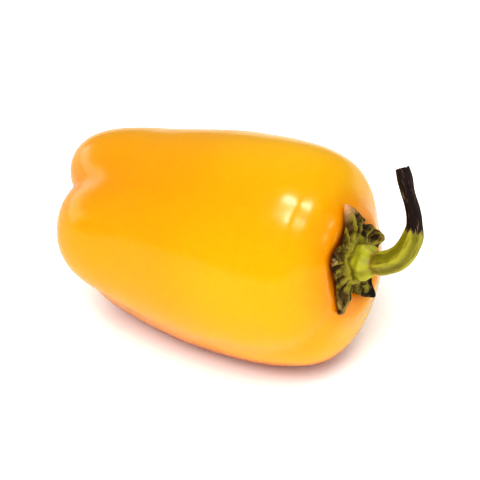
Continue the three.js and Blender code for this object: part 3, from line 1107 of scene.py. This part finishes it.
@dataclass
class Stem:
    """The stem: bent upwards, green and swollen below, dry and thin above, cut at its end."""

    calyx: Calyx
    length: float = 31.0
    foot_radius: float = 3.5
    green_radius: float = 2.75
    dry_radius: float = 1.5
    dry_from: float = 0.6  # share of the length where the dry part starts
    bend: float = 112.0
    bend_to: float = 25.0
    lean: float = 16.0
    flutes: int = 5
    flute_share: float = 0.06
    cut_recess: float = 0.45
    knob_length: float = 4.2  # the swollen joint where the stem leaves the calyx
    knob_swell: float = 1.2
    knob_facets: int = 5
    crease_width: float = 0.45
    crease_depth: float = 0.7
    sunk: float = 0.25  # how deep the foot sits in the collar
    # Shares of the radius:
    fibre_share: float = 0.05  # fibres along it
    shrunk_share: float = 0.22  # the dry part, drawn in unevenly
    lump_share: float = 0.05
    joint_share: float = 0.07  # the ring where the green part ends
    joint_width: float = 0.025  # share of the length
    torn_height: float = 0.5  # of the cut's ragged edge

    rings: int = 90
    segments: int = 64
    finish: StemSkin = StemSkin()

    FRAME_STEPS = 260

    def __post_init__(self) -> None:
        """Works out the frames along the bent centre line."""
        self.frames = self.bend_frames()

    def bend_frames(self) -> list[tuple[Vector, Vector, Vector]]:
        """The bent centre line as (centre, normal, forward) in even steps."""
        step = self.length / self.FRAME_STEPS
        lean = math.radians(self.lean)
        up = Vector((0.0, math.sin(lean), math.cos(lean)))
        along = Vector((1.0, 0.0, 0.0))
        centre = Vector((self.calyx.collar_top, 0.0, self.calyx.rise))
        frames = []
        for i in range(self.FRAME_STEPS + 1):
            heading = math.radians(self.bend) * smoothstep(i * step, 0.0, self.bend_to)
            forward = along * math.cos(heading) + up * math.sin(heading)
            normal = up * math.cos(heading) - along * math.sin(heading)
            frames.append((centre.copy(), normal, forward))
            centre += forward * step
        return frames

    def outline(self) -> list[Point]:
        """The straight stem's outline, with the hollow of the cut at its end."""
        green, dry, length = self.green_radius, self.dry_radius, self.length
        sides = catmull_rom([
            (-self.sunk, self.foot_radius * 0.95),
            (0.03 * length, self.foot_radius * 0.93),
            (0.1 * length, green),
            (self.dry_from * 0.6 * length, green * 0.98),
            (self.dry_from * 0.85 * length, lerp(dry, green, 0.75)),
            (self.dry_from * length, lerp(dry, green, 0.2)),
            (0.8 * length, dry),
            (0.93 * length, dry * 1.12),
            (length, dry * 0.98),
        ], self.rings)
        end = [
            (length - 0.05, dry * 0.85),
            (length - self.cut_recess * 0.7, dry * 0.62),
            (length - self.cut_recess, dry * 0.3),
            (length - self.cut_recess * 1.2, 0.0),
        ]
        foot = [(-self.sunk, 0.0), (-self.sunk, self.foot_radius * 0.5)]
        return foot + sides + end

    def to_bent(self, vertex: Vector) -> tuple[Vector, Marks]:
        """Flutes, wrinkles and bends a vertex of the straight stem, and marks its drying."""
        along = vertex.x / self.length
        radius = math.hypot(vertex.y, vertex.z)
        turn = math.radians(angle_of(vertex))
        around = Vector((math.cos(turn), math.sin(turn), 0.0))
        dry = smoothstep(along, self.dry_from - 0.1, self.dry_from + 0.02)

        flute = 0.5 + 0.5 * math.cos(turn * self.flutes + 0.5 * math.sin(along * 5.0))
        share = 1.0 - 2.0 * self.flute_share * (1.0 - flute)
        wander = Vector((0.0, 0.0, vertex.x * 0.09))
        share += self.fibre_share * noise.noise(around * 2.6 + wander)
        share += self.shrunk_share * dry * noise.noise(around * 1.7 + wander * 2.0)
        share += self.lump_share * noise.noise(vertex * 0.45)
        joint = bell(along - self.dry_from + 0.03, self.joint_width)
        share += self.joint_share * joint * (0.6 + noise.noise(around * 3.0))
        fluted = radius * share
        off_foot = vertex.x - self.knob_length
        knob = 1.0 - smoothstep(off_foot, -1.2, 0.1)
        facets = 0.72 + 0.3 * math.cos(self.knob_facets * turn + 0.9)
        facets += 0.5 * noise.noise(vertex * 0.55)
        crease = bell(off_foot - 0.35 * noise.noise(around * 1.5), self.crease_width)
        swollen = bell(vertex.x - 0.45 * self.knob_length, 0.42 * self.knob_length)
        on_side = smoothstep(radius, 0.5, 2.0)
        fluted += on_side * (self.knob_swell * swollen * facets - self.crease_depth * crease)

        torn = self.torn_height * smoothstep(along, 0.97, 1.0)
        torn *= noise.noise(around * 2.4 + Vector((3.0, 1.0, 7.0)))
        step = min(max((vertex.x + torn) / self.length, 0.0), 1.0) * self.FRAME_STEPS
        k = min(int(step), self.FRAME_STEPS - 1)
        centre = self.frames[k][0].lerp(self.frames[k + 1][0], step - k)
        normal = self.frames[k][1].lerp(self.frames[k + 1][1], step - k).normalized()
        forward = self.frames[k][2]
        if vertex.x < 0.0:
            centre = centre + forward * vertex.x
        across = normal.cross(forward)
        place = centre + normal * (fluted * math.sin(turn)) - across * (fluted * math.cos(turn))

        at_end = smoothstep(along, 0.955, 0.975)
        inside = 1.0 - smoothstep(radius, self.dry_radius * 0.72, self.dry_radius * 0.9)
        return place, {
            "rod": Vector((radius * around.x, radius * around.y, 0.14 * vertex.x)) * MM,
            "ridge": flute**1.5,
            "knob": knob * (0.7 + 0.5 * noise.noise(vertex * 0.8)),
            "crease": 0.9 * crease * (0.65 + noise.noise(around * 2.3)),
            "dry": dry,
            "cut": at_end * inside,
            "core": 1.0 - smoothstep(radius, 0.15 * self.dry_radius, 0.45 * self.dry_radius),
        }

    def build(self, pose: Matrix) -> None:
        """Makes the stem.

        Args:
            pose: the fruit's turn and place.
        """
        piece = spin_outline("pepper_stem", self.outline(), self.segments)
        reshape(piece, self.to_bent)
        subdivide(piece, levels=1)
        settle(piece, pose)
        stand_for(piece, Part.STEM, self.finish.material())


# ---- The studio ----


@dataclass(frozen=True)
class Orbit:
    """A place round the pepper that faces it, counted as the camera's own angles are."""

    azimuth: float  # degrees; 0 is in front (-Y), 90 at the stem end (+X)
    elevation: float  # degrees above the floor
    distance: float  # metres

    def placement(self, target: Vector) -> tuple[Vector, Vector]:
        """Where it is and how it is turned.

        Args:
            target: what it faces, in metres.

        Returns:
            Its location, and its rotation as Euler angles.
        """
        a, e = math.radians(self.azimuth), math.radians(self.elevation)
        back = Vector((math.sin(a) * math.cos(e), -math.cos(a) * math.cos(e), math.sin(e)))
        return target + back * self.distance, back.to_track_quat("Z", "Y").to_euler()


class Lights(Enum):
    """What a softbox lights."""

    ALL = "all"  # everything, though the wax doesn't mirror it
    GLOSS = "gloss"  # a small panel that is there only for the wax to mirror
    FLOOR = "floor"  # it washes the floor white and leaves the pepper alone


@dataclass(frozen=True)
class Softbox:
    """A soft light panel."""

    name: str
    orbit: Orbit
    width: float  # metres
    height: float
    power: float  # watts
    lights: Lights = Lights.ALL
    roll: float = 0.0  # degrees round the line to the pepper


@dataclass
class Studio:
    """A pale floor, soft light from all round and above, and the camera."""

    camera: Orbit = Orbit(azimuth=32.0, elevation=31.5, distance=0.6)
    lens: float = 205.0
    aim: tuple[float, float, float] = (0.4, 0.2, -0.3)  # mm from the middle of the CAD box
    floor_radius: float = 2.5
    sky: str = "#ffffff"
    daylight: str = "#e2ecff"  # through the windows
    sky_strength: float = 0.42
    sky_in_wax: float = 0.22  # how bright the wax mirrors the room
    softboxes: tuple[Softbox, ...] = (
        Softbox("key", Orbit(26.0, 56.0, 1.4), 1.0, 1.0, 8.6),
        Softbox("back_fill", Orbit(205.0, 42.0, 1.6), 1.2, 1.2, 3.8),
        Softbox("wash", Orbit(18.0, 42.0, 2.0), 1.4, 1.4, 26.0, Lights.FLOOR),
        Softbox("high_window", Orbit(64.0, 72.5, 1.0), 0.5, 0.13, 3.9, Lights.GLOSS, -61.0),
        Softbox("side_window", Orbit(101.0, 38.0, 1.0), 0.46, 0.1, 2.8, Lights.GLOSS, -63.0),
        Softbox("left_strip", Orbit(-92.0, 8.0, 1.0), 0.9, 0.24, 1.0, Lights.GLOSS),
    )
    finish: MattFloor = MattFloor()

    def build_floor(self) -> bpy.types.Object:
        """Makes the floor, and returns it."""
        bpy.ops.object.select_all(action="DESELECT")
        bpy.ops.mesh.primitive_circle_add(vertices=96, radius=self.floor_radius, fill_type="NGON")
        floor = bpy.context.object
        floor.name = floor.data.name = "studio_floor"
        floor.data.materials.append(self.finish.material())
        floor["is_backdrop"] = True
        return floor

    def build_light(self, target: Vector, floor: bpy.types.Object) -> None:
        """Adds the softboxes and the even light of the room.

        Args:
            target: what the softboxes face.
            floor: the only thing that a floor wash lights.
        """
        floor_only = bpy.data.collections.new("floor_only")
        floor_only.objects.link(floor)
        for box in self.softboxes:
            location, rotation = box.orbit.placement(target)
            rotation.rotate_axis("Z", math.radians(box.roll))
            bpy.ops.object.light_add(type="AREA", location=location, rotation=rotation)
            light = bpy.context.object
            light.name = light.data.name = "softbox_" + box.name
            light.data.shape = "RECTANGLE"
            light.data.size = box.width
            light.data.size_y = box.height
            light.data.energy = box.power
            light.data.color = linear(self.daylight if box.lights is Lights.GLOSS else self.sky)[:3]
            light.visible_camera = False
            light.visible_glossy = box.lights is Lights.GLOSS
            light.visible_diffuse = box.lights is not Lights.GLOSS
            if box.lights is Lights.FLOOR:
                light.light_linking.receiver_collection = floor_only
        world = bpy.data.worlds.new("white studio")
        world.use_nodes = True
        world.node_tree.nodes.clear()
        mirrored = add_node(world.node_tree, "LightPath").outputs["Is Glossy Ray"]
        strength = add_node(world.node_tree, "MapRange", {}, {
            "Value": mirrored, "To Min": self.sky_strength, "To Max": self.sky_in_wax,
        }).outputs["Result"]
        background = add_node(world.node_tree, "Background", {}, {
            "Color": linear(self.sky), "Strength": strength,
        })
        output = add_node(world.node_tree, "OutputWorld")
        world.node_tree.links.new(background.outputs["Background"], output.inputs["Surface"])
        bpy.context.scene.world = world

    def build_camera(self, target: Vector) -> None:
        """Adds the camera.

        Args:
            target: what it looks at.
        """
        location, rotation = self.camera.placement(target)
        bpy.ops.object.camera_add(location=location, rotation=rotation)
        camera = bpy.context.object
        camera.data.lens = self.lens
        camera.data.clip_start = 0.01
        bpy.context.scene.camera = camera

    def build(self) -> None:
        """Makes the floor, the lights and the camera, round the CAD box."""
        lowest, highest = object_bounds()
        target = (lowest + highest) / 2.0 + Vector(self.aim) * MM
        self.build_light(target, self.build_floor())
        self.build_camera(target)
        bpy.context.scene.view_settings.view_transform = "Standard"
        bpy.context.scene.view_settings.look = "High Contrast"
        log.info("studio: %d softboxes", len(self.softboxes))


def main() -> None:
    """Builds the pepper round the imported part, and the studio round the pepper."""
    logging.basicConfig(level=logging.INFO, format="%(name)s: %(message)s")
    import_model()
    fruit = Fruit()
    calyx = Calyx(fruit)
    stem = Stem(calyx)
    pose = fruit.build()
    calyx.build(pose)
    stem.build(pose)
    Studio().build()


if __name__ == "__main__":
    main()
